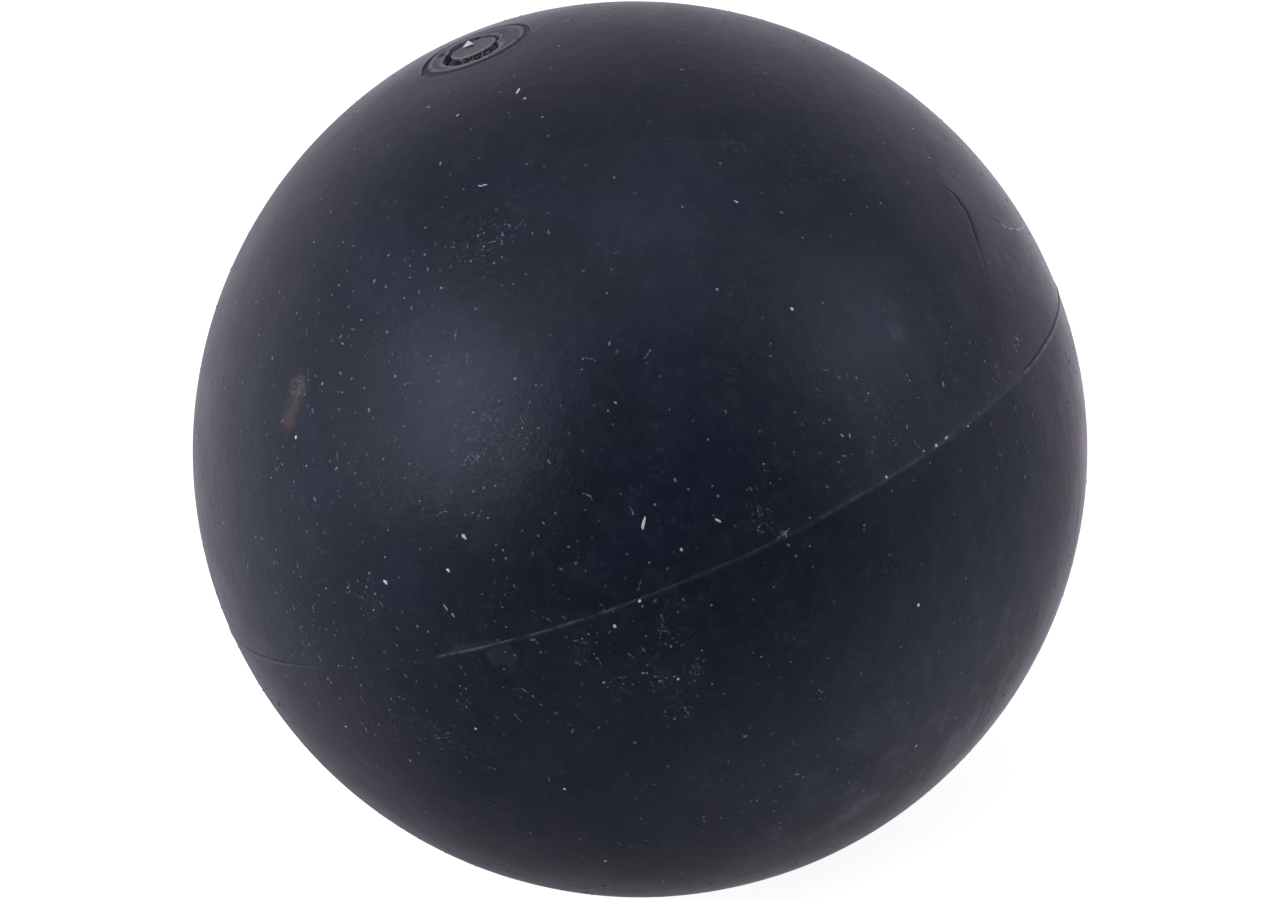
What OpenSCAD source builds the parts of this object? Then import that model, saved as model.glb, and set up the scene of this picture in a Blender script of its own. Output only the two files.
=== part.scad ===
// Hollow ball of soft plastic, moulded in two halves and closed at one pole
// by a pressed-in valve: a ring that snaps into the wall, and a stopper that
// snaps into the ring. The origin is the centre of the ball and +Z runs out
// through the valve. Bearings are degrees from the -Y side towards +X.

/* [Ball] */
// Diameter over the outer skin
ball_d = 65; // [50:1:120]
// Thickness of the wall
wall = 3; // [2.4:0.1:5]

/* [Parting line] */
// Width of the sunk line where the mould halves met
seam_w = 0.4; // [0.3:0.02:0.6]
// Depth of the sunk line
seam_depth = 0.12; // [0.08:0.01:0.2]
// Width of the lip along the line's lower side
lip_w = 0.5; // [0.3:0.05:1]
// Height of the lip over the skin
lip_h = 0.06; // [0.03:0.01:0.12]
// Thickness of the thread of flash that stands in the line
flash_w = 0.2; // [0.12:0.02:0.28]
// Height of the flash over the skin
flash_h = 0.06; // [0.02:0.01:0.12]
// Bearing where the flash starts
flash_start = -34; // [-90:1:0]
// Bearing where the flash ends
flash_end = 56; // [10:1:110]

/* [Valve ring] */
// Diameter of the ring's face
ring_d = 7.5; // [6.4:0.1:10]
// Height of the crown across the ring's face
ring_crown = 0.12; // [0.04:0.01:0.2]
// Width of the groove between the ring's face and the skin
groove_w = 0.4; // [0.2:0.05:0.8]
// Depth of that groove
groove_depth = 0.5; // [0.3:0.05:0.8]
// Bevel on the skin's edge at the groove
edge_bevel = 0.1; // [0.05:0.01:0.15]
// Depth of the ring's seat below the skin
seat_depth = 1.3; // [1:0.1:1.6]
// Diameter of the neck that passes through the wall
neck_d = 5.6; // [5:0.1:6.2]
// How far the flange reaches behind the wall
flange_catch = 0.8; // [0.4:0.1:1.4]
// Thickness of the flange at its rim
flange_t = 0.8; // [0.5:0.1:1.5]
// Length of the taper that leads the flange in
lead_len = 0.8; // [0.5:0.1:1.5]
// Length of the sleeve below the taper
sleeve_len = 2; // [1:0.1:5]
// Thickness of the sleeve round the stopper's stem
sleeve_wall = 0.9; // [0.6:0.05:1.2]

/* [Stopper] */
// Diameter of the disc that shows in the well
disc_d = 3.7; // [3.2:0.1:4.4]
// Height of the disc's face over the edge of the well
disc_proud = 0.1; // [0:0.02:0.3]
// Bevel round the disc's face
disc_bevel = 0.1; // [0.05:0.01:0.2]
// Width of the well left open round the disc
moat_w = 0.35; // [0.2:0.05:0.6]
// Depth of the well
well_depth = 0.7; // [0.5:0.05:0.9]
// Diameter of the stem
stem_d = 2.2; // [1.8:0.1:2.6]
// How far the barb reaches past the sleeve's bore
barb_catch = 0.35; // [0.2:0.05:0.6]
// Length of the barb's taper
barb_len = 1.6; // [1:0.1:3]
// Diameter of the tip
tip_d = 1.2; // [0.8:0.1:1.6]

/* [Fits] */
// Gap left round what is pressed into something
press_gap = 0.05; // [0.02:0.01:0.1]

/* [Hidden] */
$fn = 120;

skin_r = ball_d / 2;
inner_r = skin_r - wall;
// A height that every cut from above runs up to, clear of the ball
above_z = skin_r + 1;

// Radii about the valve's axis, from the outside in
ring_r = ring_d / 2;
port_r = ring_r + groove_w;
neck_r = neck_d / 2;
flange_r = neck_r + flange_catch;
disc_r = disc_d / 2;
well_r = disc_r + moat_w;
stem_r = stem_d / 2;
bore_r = stem_r + press_gap;
sleeve_r = bore_r + sleeve_wall;
barb_r = bore_r + barb_catch;

// Heights along the valve's axis, from the top down
groove_z = height_on(skin_r, port_r) - groove_depth;
seat_z = height_on(skin_r, port_r) - seat_depth;
disc_z = height_on(skin_r, well_r) + disc_proud;
well_z = height_on(skin_r, well_r) - well_depth;
flange_z = height_on(inner_r, flange_r) - flange_t;
lead_z = flange_z - lead_len;
sleeve_z = lead_z - sleeve_len;
barb_z = sleeve_z - press_gap;
tip_z = barb_z - barb_len;

// Height at which a sphere of radius sphere_r passes radius r from the axis
function height_on(sphere_r, r) = sqrt(sphere_r * sphere_r - r * r);

// Radius of the arc that rises by rise over a chord of width w
function arc_r(w, rise) = (w * w / 4 + rise * rise) / (2 * rise);

// Right half of a disc about the origin
module half_disc(r) {
    intersection() {
        circle(r);
        translate([0, -r]) square([r, 2 * r]);
    }
}

// Section of a round post about the axis, from z0 up to z1
module post(r, z0, z1) {
    translate([0, z0]) square([r, z1 - z0]);
}

// Section of a post that narrows from r1 at z1 down to r0 at z0
module taper(r0, z0, r1, z1) {
    polygon([[0, z0], [r0, z0], [r1, z1], [0, z1]]);
}

// Section of the sunk line round the middle
module seam_section() {
    r = arc_r(seam_w, seam_depth);
    translate([skin_r - seam_depth + r, 0]) circle(r);
}

// Section of the raised lip just below the sunk line
module lip_section() {
    r = arc_r(lip_w, lip_h);
    angle = atan((seam_w + lip_w) / 2 / skin_r);
    rotate(-angle) translate([skin_r + lip_h - r, 0]) circle(r);
}

// Section of the thread of flash, rooted below the sunk line's floor
module flash_section() {
    root = skin_r - seam_depth - flash_w;
    crest = skin_r + flash_h;
    polygon([
        [root, -flash_w / 2],
        [crest, -flash_w / 4],
        [crest, flash_w / 4],
        [root, flash_w / 2]
    ]);
}

// Section of the stepped opening that the valve ring snaps into
module port_section() {
    edge_z = height_on(skin_r, port_r);
    post(port_r, seat_z, above_z);
    post(neck_r + press_gap, 0, seat_z);
    taper(port_r - edge_bevel, edge_z - 2 * edge_bevel, port_r + 2 * edge_bevel, edge_z + edge_bevel);
}

// Section of the ring's crowned face, between the well and the groove
module crown_section() {
    middle_r = (ring_r + well_r) / 2;
    r = arc_r(ring_r - well_r, ring_crown);
    intersection() {
        rotate(acos(middle_r / skin_r)) translate([skin_r - r, 0]) circle(r);
        post(ring_r, seat_z, above_z);
    }
}

module ball_shell() {
    color("#20232f") {
        rotate_extrude() difference() {
            union() {
                half_disc(skin_r);
                lip_section();
            }
            half_disc(inner_r);
            seam_section();
            port_section();
        }
        rotate(flash_start - 90)
            rotate_extrude(angle = flash_end - flash_start) flash_section();
    }
}

module valve_ring() {
    color("#4b4a57") rotate_extrude() difference() {
        union() {
            crown_section();
            post(port_r - press_gap, seat_z, groove_z);
            post(neck_r, flange_z, seat_z);
            intersection() {
                half_disc(inner_r - press_gap);
                post(flange_r, flange_z, seat_z);
            }
            taper(sleeve_r, lead_z, flange_r, flange_z);
            post(sleeve_r, sleeve_z, lead_z);
        }
        post(well_r, well_z, above_z);
        post(bore_r, sleeve_z, well_z);
    }
}

module stopper() {
    bevel_z = disc_z - disc_bevel;
    color("#6d717c") rotate_extrude() {
        post(disc_r, well_z, bevel_z);
        taper(disc_r, bevel_z, disc_r - disc_bevel, disc_z);
        post(stem_r, barb_z, bevel_z);
        taper(tip_d / 2, tip_z, barb_r, barb_z);
    }
}

ball_shell();
valve_ring();
stopper();
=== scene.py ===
import math
import random

import bmesh
import bpy
import numpy as np
from mathutils import Matrix, Vector, noise

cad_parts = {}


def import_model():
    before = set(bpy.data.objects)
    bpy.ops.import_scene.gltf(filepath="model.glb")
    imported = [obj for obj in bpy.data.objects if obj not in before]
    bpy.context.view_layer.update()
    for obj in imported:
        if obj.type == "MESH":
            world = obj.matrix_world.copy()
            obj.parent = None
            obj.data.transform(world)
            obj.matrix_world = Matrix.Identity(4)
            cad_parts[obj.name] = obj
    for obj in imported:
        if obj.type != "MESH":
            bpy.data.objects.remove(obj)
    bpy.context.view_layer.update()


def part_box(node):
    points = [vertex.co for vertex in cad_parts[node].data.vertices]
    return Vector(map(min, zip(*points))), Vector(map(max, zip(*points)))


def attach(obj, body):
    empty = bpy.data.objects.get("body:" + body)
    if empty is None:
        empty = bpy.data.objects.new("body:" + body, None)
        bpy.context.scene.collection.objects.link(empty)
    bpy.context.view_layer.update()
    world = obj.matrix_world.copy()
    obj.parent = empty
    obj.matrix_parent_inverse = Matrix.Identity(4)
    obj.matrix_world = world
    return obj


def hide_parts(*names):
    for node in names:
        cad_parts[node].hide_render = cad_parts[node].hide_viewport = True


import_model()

# A hollow ball of soft plastic, closed at +Z by a ring and a stopper.
# Lengths are in millimetres until finish_piece turns a mesh into metres.
# Bearings are degrees from the -Y side towards +X, and latitudes rise towards +Z.

MM = 0.001

# ------------------------ sizes
BALL_R = -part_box("ball_shell")[0].z / MM
SHOULDER_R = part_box("valve_ring")[1].x / MM
SLEEVE_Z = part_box("valve_ring")[0].z / MM
DISC_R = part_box("stopper")[1].x / MM
TIP_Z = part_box("stopper")[0].z / MM

WALL = 3.0
INNER_R = BALL_R - WALL
PRESS_GAP = 0.05

# The opening in the wall, and the ring that fills it
PORT_R = SHOULDER_R + PRESS_GAP
PORT_EDGE_R = 4.14
SEAT_DEPTH = 1.3
GROOVE_DEPTH = 0.5
DIRT_DEPTH = 0.13
RING_R = 3.72
RING_CROWN = 0.12
FACE_W = 1.5
NECK_R = 2.8
MOUTH_R = NECK_R + PRESS_GAP
FLANGE_R = 3.6
FLANGE_T = 0.8
LEAD_LEN = 0.8
SLEEVE_R = 2.05
BORE_R = 1.15

# The stopper and the well it stands in; the disc is worn at its edge and has dropped a little
WELL_R = 2.2
WELL_DEPTH = 0.7
DISC_WEAR = 0.13
DISC_DROP = 0.1
DISC_BEVEL = 0.12
DISC_TILT = 0.03
DISC_SHIFT = 0.08
STEM_R = 1.1
BARB_R = 1.5
TIP_R = 0.6

# The valve sits a little off the pole
OFF_POLE = 0.35
OFF_BEARING = 22

# The parting line
FLASH_START = -34
FLASH_END = 58
FLASH_HEIGHT = 0.07
FLASH_HALF_W = 0.07
GROOVE_HALF_W = 0.06
SEAM_DEPTH = 0.09
LIP_HEIGHT = 0.05
LIP_BELOW = 0.19
LIP_HALF_W = 0.1

# The wall bulges a little just behind the valve
SWELL = 0.24
SWELL_BEARING = 180
SWELL_LATITUDE = 77
SWELL_REACH = 25

# Creases in the skin: waypoints as (bearing, latitude)
LONG_CREASE = [
    (63, 26.5), (63.4, 24.6), (64.6, 22.8), (64.2, 20),
    (61.8, 17), (59.6, 14.2), (57.4, 11.5), (56, 8),
]
SHORT_CREASE = [
    (66.5, 18.4), (70, 15.9), (71, 14.6), (73.3, 13),
    (75, 12.2), (78.3, 11), (82, 10.1), (88, 9.4),
]

# Round the opening the skin's rings turn from round at a latitude to ragged within a narrow band
SURROUND_LATITUDE = 77
EDGE_BAND = 0.6
RELIEF_FROM = 0.57


def height_on(sphere_r, r):
    """Height at which a sphere passes radius r from the axis."""
    return np.sqrt(sphere_r**2 - np.asarray(r, float) ** 2)


def direction(bearing, latitude):
    """Unit vectors for bearings and latitudes in degrees."""
    b = np.radians(bearing)
    t = np.radians(latitude)
    return np.stack([np.cos(t) * np.sin(b), -np.cos(t) * np.cos(b), np.sin(t) + 0 * b], axis=-1)


def angles(points):
    """Bearings and latitudes of points."""
    across = np.hypot(points[..., 0], points[..., 1])
    bearing = np.degrees(np.arctan2(points[..., 0], -points[..., 1]))
    return bearing, np.degrees(np.arctan2(points[..., 2], across))


def bell(x, half_width):
    """1 at x = 0, falling smoothly to nothing over a few half widths."""
    return np.exp(-((x / half_width) ** 2))


def ramp(x, start, end):
    """0 before start, 1 after end, smooth between; start may be the greater."""
    t = np.clip((np.asarray(x, float) - start) / (end - start), 0, 1)
    return t * t * (3 - 2 * t)


def turn_from(bearing, centre):
    """Degrees from centre round to bearing, -180 to 180."""
    return (np.asarray(bearing, float) - centre + 180) % 360 - 180


def noise_at(points, size, seed):
    """Smooth noise from -1 to 1 at points, with features about size across."""
    shift = Vector((17.3 * seed, 5.1 * seed, 9.7 * seed))
    flat = np.asarray(points, float).reshape(-1, 3)
    values = [noise.noise(Vector(p) / size + shift) for p in flat]
    return np.array(values).reshape(np.shape(points)[:-1])


def noise_round(bearing, r, size, seed):
    """Smooth noise from -1 to 1 round the valve's axis, at radius r."""
    b = np.radians(bearing)
    return noise_at(np.stack([r * np.cos(b), r * np.sin(b), 0 * b], axis=-1), size, seed)


# Heights along the valve's axis
PORT_Z = height_on(BALL_R, PORT_R)
GROOVE_Z = PORT_Z - GROOVE_DEPTH
SEAT_Z = PORT_Z - SEAT_DEPTH
WELL_TOP_Z = height_on(BALL_R, WELL_R)
WELL_Z = WELL_TOP_Z - WELL_DEPTH
DISC_Z = WELL_TOP_Z - DISC_DROP
FLANGE_Z = height_on(INNER_R, FLANGE_R) - FLANGE_T


# ------------------------ meshes
def grid_faces(rings, columns, loop):
    """Quads between neighbouring rings; loop joins the last ring to the first."""
    spans = rings if loop else rings - 1
    i, j = np.meshgrid(np.arange(spans), np.arange(columns), indexing="ij")
    below = i * columns
    above = (i + 1) % rings * columns
    after = (j + 1) % columns
    return np.stack([below + j, below + after, above + after, above + j], axis=-1).reshape(-1, 4).tolist()


def fan_faces(ring_start, columns, pole, flip):
    """Triangles from a ring to a single point."""
    faces = [(ring_start + (j + 1) % columns, ring_start + j, pole) for j in range(columns)]
    return [face[::-1] for face in faces] if flip else faces


def grid_mesh(name, grid, first_pole=None, last_pole=None):
    """A closed mesh from rings of points, in millimetres, capped by poles or joined end to end."""
    rings, columns, _ = grid.shape
    points = grid.reshape(-1, 3).tolist()
    faces = grid_faces(rings, columns, loop=first_pole is None)
    if first_pole is not None:
        faces += fan_faces(0, columns, len(points), flip=False)
        points.append(first_pole)
        faces += fan_faces((rings - 1) * columns, columns, len(points), flip=True)
        points.append(last_pole)
    mesh = bpy.data.meshes.new(name)
    mesh.from_pydata(points, [], faces)
    return mesh


def turned(profile, bearings):
    """Rings of points for a section of (radius, height) pairs; either may vary with bearing."""
    b = np.radians(bearings)
    grid = np.zeros((len(profile), len(b), 3))
    for ring, (r, z) in zip(grid, profile):
        ring[:, 0] = r * np.sin(b)
        ring[:, 1] = -r * np.cos(b)
        ring[:, 2] = z
    return grid


def finish_piece(mesh, material, node, sharp_angle=35):
    """Links a mesh as a piece that stands for a CAD node."""
    mesh.transform(Matrix.Scale(MM, 4))
    mesh.polygons.foreach_set("use_smooth", [True] * len(mesh.polygons))
    mesh.set_sharp_from_angle(angle=math.radians(sharp_angle))
    mesh.materials.append(material)
    piece = bpy.data.objects.new(mesh.name, mesh)
    bpy.context.scene.collection.objects.link(piece)
    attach(piece, "root")
    if node:
        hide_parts(node)


def set_attribute(mesh, name, values):
    """Stores one number for each vertex, for a material to read."""
    layer = mesh.attributes.new(name, "FLOAT", "POINT")
    layer.data.foreach_set("value", np.asarray(values, np.float32))


def vertex_points(mesh):
    """A mesh's points as an array."""
    flat = np.zeros(len(mesh.vertices) * 3)
    mesh.vertices.foreach_get("co", flat)
    return flat.reshape(-1, 3)


# ------------------------ paths on the skin
def smooth_path(waypoints, steps=12):
    """Points on the ball along a smooth curve through waypoints."""
    knots = direction(*np.transpose(waypoints)) * BALL_R
    knots = np.vstack([2 * knots[0] - knots[1], knots, 2 * knots[-1] - knots[-2]])
    t = np.linspace(0, 1, steps, endpoint=False)[:, None]
    spans = []
    for a, b, c, d in zip(knots, knots[1:], knots[2:], knots[3:]):
        spans.append(b + 0.5 * t * (c - a + t * (2 * a - 5 * b + 4 * c - d + t * (3 * b - a - 3 * c + d))))
    path = np.vstack(spans + [knots[-2:-1]])
    return path / np.linalg.norm(path, axis=1)[:, None] * BALL_R


def beside_path(points, path):
    """Distance to a path, positive on its right as it runs, and how far along it lies from 0 to 1."""
    best = np.full(len(points), np.inf)
    side = np.zeros(len(points))
    along = np.zeros(len(points))
    for i, (a, b) in enumerate(zip(path, path[1:])):
        run = b - a
        t = np.clip((points - a) @ run / (run @ run), 0, 1)
        off = points - (a + t[:, None] * run)
        away = np.linalg.norm(off, axis=1)
        near = away < best
        right = np.cross(run, a)
        best[near] = away[near]
        side[near] = np.sign(off[near] @ right)
        along[near] = (i + t[near]) / (len(path) - 1)
    return best * side, along


# ------------------------ skin relief
def swelling(points):
    """How far the wall stands out round the valve."""
    cosine = points @ direction(SWELL_BEARING, SWELL_LATITUDE) / np.linalg.norm(points, axis=-1)
    return SWELL * bell(np.degrees(np.arccos(np.clip(cosine, -1, 1))), SWELL_REACH)


def swell(mesh):
    """Carries a mesh outwards with the swelling of the wall."""
    points = vertex_points(mesh)
    points *= (1 + swelling(points) / np.linalg.norm(points, axis=1))[:, None]
    mesh.vertices.foreach_set("co", points.ravel())
    mesh.update()


def seam_wander(bearing):
    """How far the parting line strays from the equator."""
    b = np.radians(bearing)
    return 0.1 + 0.03 * np.sin(5 * b + 1) + 0.02 * np.sin(13 * b + 2) + 0.012 * np.sin(41 * b)


def seam_openness(bearing):
    """How open the parting line's groove is: wide open away from the flash."""
    return 0.08 + 0.92 * np.maximum(ramp(bearing, -50, -68), ramp(bearing, 52, 59))


def flash_strength(bearing):
    """The thread of flash: it starts sharply at one end and fades at the other."""
    b = np.radians(bearing)
    beads = 0.65 + 0.2 * np.sin(61 * b) * np.sin(23 * b + 1) + 0.3 * np.sin(173 * b + 2) * np.sin(97 * b)
    gaps = (1 - 0.85 * bell(bearing - 39.8, 1.2)) * (1 - 0.7 * bell(bearing - 34, 1.2))
    ends = ramp(bearing, FLASH_START - 0.3, FLASH_START + 0.3) * ramp(bearing, FLASH_END, FLASH_END - 8)
    return ends * gaps * beads


def seam_relief(bearing, latitude):
    """Height of the parting line over the skin."""
    h = np.radians(latitude) * BALL_R - seam_wander(bearing)
    open_part = seam_openness(bearing)
    groove = -SEAM_DEPTH * open_part * bell(h, GROOVE_HALF_W)
    lip = LIP_HEIGHT * open_part * bell(h + LIP_BELOW, LIP_HALF_W)
    flash = FLASH_HEIGHT * flash_strength(bearing) * bell(h, FLASH_HALF_W)
    return groove + lip + flash


def around_creases(points):
    """Whether points lie near enough to the creases to be shaped by them."""
    bearing, latitude = angles(points)
    return (bearing > 40) & (bearing < 100) & (latitude > -5) & (latitude < 45)


def beside_crease(points, waypoints):
    """Distance to a fold, which strays a little from its path, and how far along it lies."""
    s, along = beside_path(points, smooth_path(waypoints))
    return s + 0.06 * noise_at(points, 0.7, 7) + 0.05 * noise_at(points, 2, 8), along


def crease_depth(along, points):
    """How deep a fold is along its length: deepest near the middle, and uneven."""
    deep = 0.18 + 0.78 * bell(along - 0.45, 0.14) + 0.25 * bell(along - 0.6, 0.08)
    return deep * (0.85 + 0.5 * noise_at(points, 1.1, 9))


def crease_relief(points, waypoints, ridge, depth, lip):
    """A fold in the skin: a broad ridge, a groove along it, and a lip on its left."""
    s, along = beside_crease(points, waypoints)
    deep = crease_depth(along, points)
    fade = ramp(along, 0, 0.3) * ramp(along, 1, 0.75)
    broad = ridge * np.exp(-np.hypot(s, 0.3) / 2.5)
    return fade * (broad - depth * deep * bell(s, 0.09 + 0.06 * deep) + lip * bell(s + 0.3, 0.14))


def crease_dirt_and_shade(points, waypoints, half_width, shade):
    """Dirt and painted shade in a fold's groove, and a painted soft shadow on its left."""
    s, along = beside_crease(points, waypoints)
    fade = ramp(along, 0, 0.2) * ramp(along, 1, 0.7)
    # the line is dirt with painted shade in the fold; the band on its left is a painted soft shadow
    line = np.maximum(bell(s, half_width), shade * bell(s + 0.22, 0.3))
    return np.clip(fade * crease_depth(along, points) * line, 0, 1)


def skin_relief(points):
    """Height of the outer skin over a true sphere, at points on it."""
    bearing, latitude = angles(points)
    relief = seam_relief(bearing, latitude)
    near = around_creases(points)
    relief[near] += crease_relief(points[near], LONG_CREASE, ridge=0.12, depth=0.1, lip=0.0)
    relief[near] += crease_relief(points[near], SHORT_CREASE, ridge=0.02, depth=0.016, lip=0.03)
    relief += 0.02 * noise_at(points, 9, 1) + 0.004 * noise_at(points, 1.6, 2)
    return relief + swelling(points)


# ------------------------ ball
def off_pole(bearing):
    """How much further out the valve reaches at a bearing, as it sits off the pole."""
    return OFF_POLE * np.cos(np.radians(turn_from(bearing, OFF_BEARING)))


def port_edge(bearing):
    """Radius of the opening's ragged edge, which comes to a point on one side."""
    b = np.radians(bearing)
    ripple = 0.02 * np.sin(7 * b) + 0.015 * np.sin(19 * b + 1) + 0.01 * np.sin(43 * b)
    point = 0.2 * np.exp(-np.abs(turn_from(bearing, -72)) / 6)
    sag = 0.12 * bell(turn_from(bearing, -52), 12)
    pinch = 0.12 * bell(turn_from(bearing, -100), 25)
    return PORT_EDGE_R + off_pole(bearing) + ripple + point + sag - pinch


def outside_port(points):
    """How far points lie outside the opening's edge."""
    return np.hypot(points[:, 0], points[:, 1]) - port_edge(angles(points)[0])


def ball_bearings():
    """Columns of the ball's mesh, closer together on the seen side."""
    front = np.linspace(-96, 96, 400, endpoint=False)
    behind = np.linspace(96, 264, 170, endpoint=False)
    return np.concatenate([front, behind])


def skin_latitudes():
    """Rings of the outer skin, closest at the parting line, up to the opening's surround."""
    seam = np.concatenate([np.linspace(-0.46, 0.3, 20), [0.36, 0.44, 0.56, 0.75, 1.0, 1.3]])
    seam = np.concatenate([[-1.3, -1.0, -0.8, -0.64, -0.54], seam])
    middle = np.degrees(seam / BALL_R)
    below = np.linspace(-88, -3, 46)
    above = np.linspace(3, 33, 50)
    upper = np.linspace(34, SURROUND_LATITUDE, 36)
    return np.concatenate([below, middle, above, upper])


def surround_rings(bearings, edge):
    """The skin round the opening, down to its ragged edge, with one small tear."""
    start_r = BALL_R * math.cos(math.radians(SURROUND_LATITUDE))
    rings = []
    for t in np.linspace(0.08, 1, 11):
        r = start_r + (edge + EDGE_BAND - start_r) * t
        rings.append((r, height_on(BALL_R, r)))
    for beyond in np.arange(EDGE_BAND - 0.06, 0.1, -0.06):
        r = edge + beyond
        tear = 0.09 * bell(turn_from(bearings, 79), 8) * bell(beyond - 0.3, 0.08)
        rings.append((r, height_on(BALL_R, r) - tear))
    return rings


def port_rings(edge):
    """The stepped opening, from its rounded edge down to the inner face."""
    edge_z = height_on(BALL_R, edge)
    rings = [(edge + 0.05, edge_z - 0.01), (edge + 0.01, edge_z - 0.05), (edge, edge_z - 0.12)]
    rings += [(np.maximum(edge, PORT_R), edge_z - 0.3), (PORT_R, GROOVE_Z), (PORT_R, SEAT_Z)]
    return rings + [(MOUTH_R, SEAT_Z), (MOUTH_R, height_on(INNER_R, MOUTH_R))]


def sphere_rings(sphere_r, latitudes):
    """Rings of a sphere about the centre, at latitudes in degrees."""
    return [(sphere_r * math.cos(t), sphere_r * math.sin(t)) for t in np.radians(latitudes)]


def ball_shell(material):
    """The ball's wall, with the stepped opening at the pole."""
    bearings = ball_bearings()
    edge = port_edge(bearings)
    mouth_latitude = math.degrees(math.acos(MOUTH_R / INNER_R))
    rings = sphere_rings(BALL_R, skin_latitudes())
    rings += surround_rings(bearings, edge)
    rings += port_rings(edge)
    rings += sphere_rings(INNER_R, np.linspace(mouth_latitude - 3, -87, 28))
    mesh = grid_mesh("ball_skin", turned(rings, bearings), (0, 0, -BALL_R), (0, 0, -INNER_R))
    refine_near_creases(mesh)
    shape_skin(mesh)
    finish_piece(mesh, material, "ball_shell")


def refine_near_creases(mesh):
    """Splits the faces along the creases, so that a narrow fold has enough points."""
    bm = bmesh.new()
    bm.from_mesh(mesh)
    centres = np.array([f.calc_center_median() for f in bm.faces])
    close = np.zeros(len(centres), bool)
    near = around_creases(centres) & (np.linalg.norm(centres, axis=1) > BALL_R - 0.5)
    reach = 0.55
    for waypoints in (LONG_CREASE, SHORT_CREASE):
        s, _ = beside_path(centres[near], smooth_path(waypoints))
        close[near] |= np.abs(s) < reach
    bm.faces.ensure_lookup_table()
    edges = {e for i in np.flatnonzero(close) for e in bm.faces[i].edges}
    bmesh.ops.subdivide_edges(bm, edges=list(edges), cuts=3, use_grid_fill=True)
    bm.to_mesh(mesh)
    bm.free()


def shape_skin(mesh):
    """Raises the relief on the outer skin, and notes on its points where each mark lies."""
    points = vertex_points(mesh)
    radius = np.linalg.norm(points, axis=1)
    skin = (radius > BALL_R - 0.4) & ((outside_port(points) > RELIEF_FROM) | (points[:, 2] < 0))
    unit = points / radius[:, None]
    radius += swelling(points)
    radius[skin] = BALL_R + skin_relief(unit[skin] * BALL_R)
    points = unit * radius[:, None]
    mesh.vertices.foreach_set("co", points.ravel())
    mesh.update()
    for mark in (chalk_and_highlight, dirt_and_shade, haze_and_painted_light, lint, smudge, stain):
        set_attribute(mesh, mark.__name__, mark(points))
    set_attribute(mesh, "olive", stroke(points, *STAIN_CRUST))


def chalk_and_highlight(points):
    """Where the parting line is rubbed pale, with painted light on the skin just above it, and a painted
    highlight along the short crease.
    """
    bearing, latitude = angles(points)
    h = np.radians(latitude) * BALL_R - seam_wander(bearing)
    faded = 0.28 + 0.22 * ramp(bearing, 8, -10) + 0.5 * ramp(bearing, -22, -31)
    thread = faded * flash_strength(bearing) * bell(h, 0.08)
    trail = 0.07 * ramp(bearing, -52, -38) * ramp(bearing, -32, -35) * bell(h, 0.07)
    # painted light: the skin just above the seam painted paler
    painted_light_above = 0.12 * ramp(bearing, 14, 26) * ramp(bearing, 64, 56) * bell(h - 0.2, 0.22)
    lip = np.where(bearing < 0, 0.5, 1.1) * seam_openness(bearing) * bell(h + 0.17, 0.08)
    total = thread + trail + painted_light_above + lip
    near = around_creases(points)
    # painted highlight: a pale line along the short crease's lip
    s, along = beside_crease(points[near], SHORT_CREASE)
    total[near] += 3 * ramp(along, 0.2, 0.4) * ramp(along, 1, 0.9) * bell(s + 0.1, 0.08)
    return total


def dirt_and_shade(points):
    """Dark marks: dirt and painted shade in the parting line's open groove and in the creases, a painted
    soft shadow beside the long crease, darker skin round the opening's edge, most on the near side, and
    dirt in scratches.
    """
    bearing, latitude = angles(points)
    h = np.radians(latitude) * BALL_R - seam_wander(bearing)
    # dirt with painted shade along the parting line's open groove
    total = seam_openness(bearing) * np.where(bearing < 0, 0.35, 0.5) * bell(h - 0.02, 0.05)
    # darker skin round the opening's edge, most on the near side
    at_edge = ramp(outside_port(points), 0.25, 0.02) * (points[:, 2] > 0)
    total += 0.3 * at_edge * bell(turn_from(bearing, 10), 70)
    total += strokes(points, SCRATCHES)
    near = around_creases(points)
    # dirt with painted shade in the creases, and a painted soft shadow beside the long crease
    total[near] = np.maximum(total[near], crease_dirt_and_shade(points[near], LONG_CREASE, 0.09, 0.5))
    total[near] = np.maximum(total[near], 0.35 * crease_dirt_and_shade(points[near], SHORT_CREASE, 0.05, 0))
    return total


def stroke(points, bearing, latitude, length, width, heading):
    """A soft mark on the skin; heading is degrees from due up towards rising bearings."""
    centre = direction(bearing, latitude)
    east = direction(bearing + 90, 0)
    north = np.cross(centre, east)
    turn = math.radians(heading)
    offset = points - centre * BALL_R
    along = offset @ (north * math.cos(turn) + east * math.sin(turn))
    across = offset @ (east * math.cos(turn) - north * math.sin(turn))
    return np.where(points @ centre > 0, bell(along, length / 2) * bell(across, width / 2), 0)


def film_patch(points, corners):
    """A thin film with straight edges; corners run clockwise as seen from outside."""
    inside = np.ones(len(points))
    spots = direction(*np.transpose(corners)) * BALL_R
    for a, b in zip(spots, np.roll(spots, -1, axis=0)):
        inward = np.cross(b - a, a)
        inside *= ramp((points - a) @ (inward / np.linalg.norm(inward)), -0.1, 0.15)
    return inside * (points @ spots[0] > 0)


# Films beside the start of the flash
FILM_PATCHES = [
    [(-33.4, 0), (-31.6, 1.3), (-25.4, 0.7), (-24.6, 0)],
    [(-27.8, -0.2), (-24.2, -0.2), (-23.8, -2.4), (-24.9, -3.6), (-27.5, -2.4)],
]
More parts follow.
